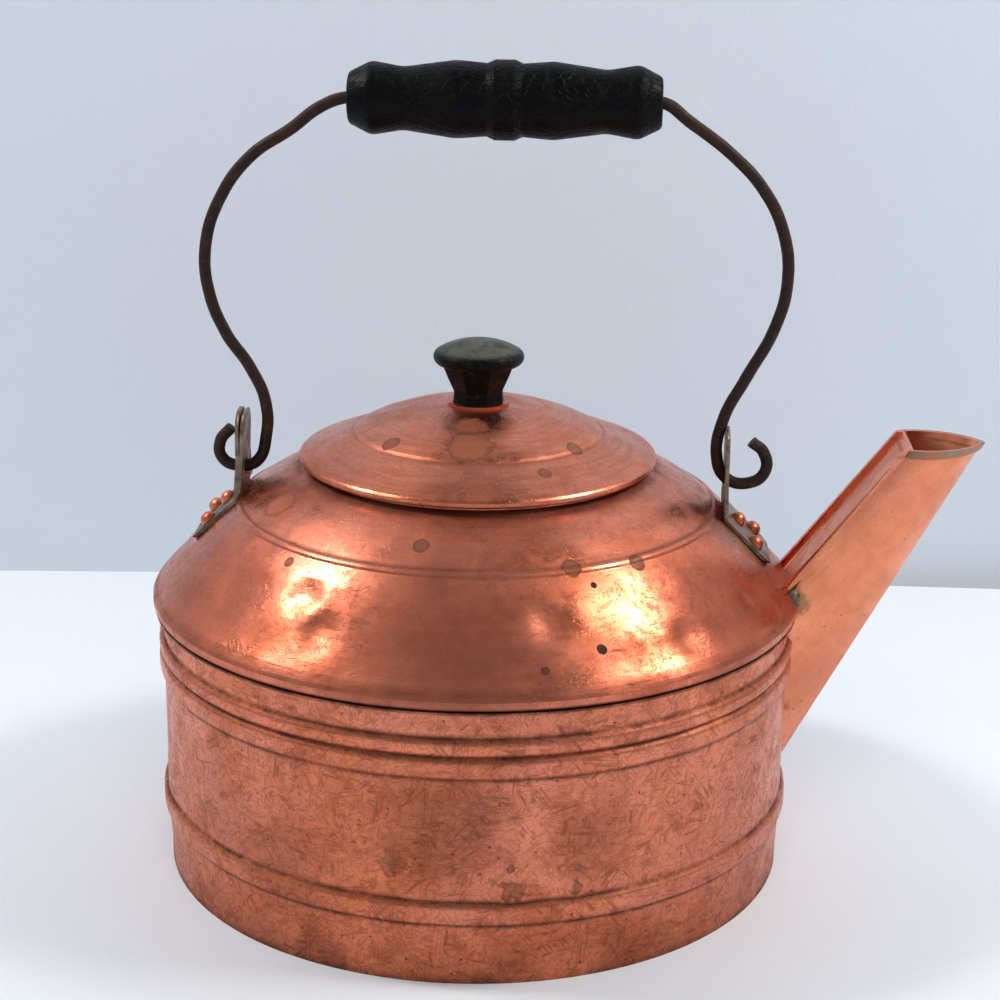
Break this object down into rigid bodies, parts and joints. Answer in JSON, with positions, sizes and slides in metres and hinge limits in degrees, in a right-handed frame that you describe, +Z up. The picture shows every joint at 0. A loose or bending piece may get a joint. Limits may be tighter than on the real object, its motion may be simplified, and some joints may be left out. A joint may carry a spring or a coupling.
{
  "type": "tea kettle",
  "caption": "Antique copper tea kettle with a banded drum, a folded sheet spout, a loose knobbed lid and a hooked wire bail that swings under a turned wooden grip.",
  "frame": {"origin": "the middle of the flat bottom that the kettle stands on", "axes": "+Z up; +X towards the spout; +Y to the left of someone who looks along the spout"},
  "size_m": [0.2996, 0.236, 0.2916],
  "materials": {
    "drum_copper": "aged satin copper, crazed with fine scratches",
    "shoulder_copper": "polished aged copper with brown tarnish",
    "lid_copper": "polished aged copper with spinning marks",
    "spout_copper": "aged copper with grey solder smears",
    "rivet_copper": "worn copper",
    "tinned_sheet": "dull tinned sheet, browned",
    "iron_wire": "dark rusted iron",
    "painted_wood": "black paint, crackled and worn"
  },
  "bodies": {
    "kettle": {"drum_wall": "drum_copper", "drum_base": "drum_copper", "shoulder_dome": "shoulder_copper", "filling_neck": "shoulder_copper", "spout_body": "spout_copper", "spout_top_strip": "spout_copper", "spout_mouth_band": "spout_copper", "ear_left": "tinned_sheet", "ear_right": "tinned_sheet", "ear_left_rivets": "rivet_copper", "ear_right_rivets": "rivet_copper"},
    "bail": {"bail_wire": "iron_wire"},
    "grip": {"bail_grip": "painted_wood"},
    "lid": {"lid_dome": "lid_copper", "lid_collar": "lid_copper", "lid_knob": "painted_wood", "knob_washer": "lid_copper", "knob_screw": "iron_wire", "knob_nut": "iron_wire"}
  },
  "joints": [
    {"name": "bail_swing", "type": "hinge", "parent": "kettle", "child": "bail", "pos_m": [0, 0, 0.144], "axis": [1, 0, 0], "range_deg": [-92, 92]},
    {"name": "grip_spin", "type": "hinge", "parent": "bail", "child": "grip", "pos_m": [0.00825, 0, 0.2778], "axis": [1, 0, 0], "continuous": true},
    {"name": "lid_lift", "type": "slide", "parent": "kettle", "child": "lid", "axis": [0, 0, 1], "range_m": [0, 0.06]}
  ]
}
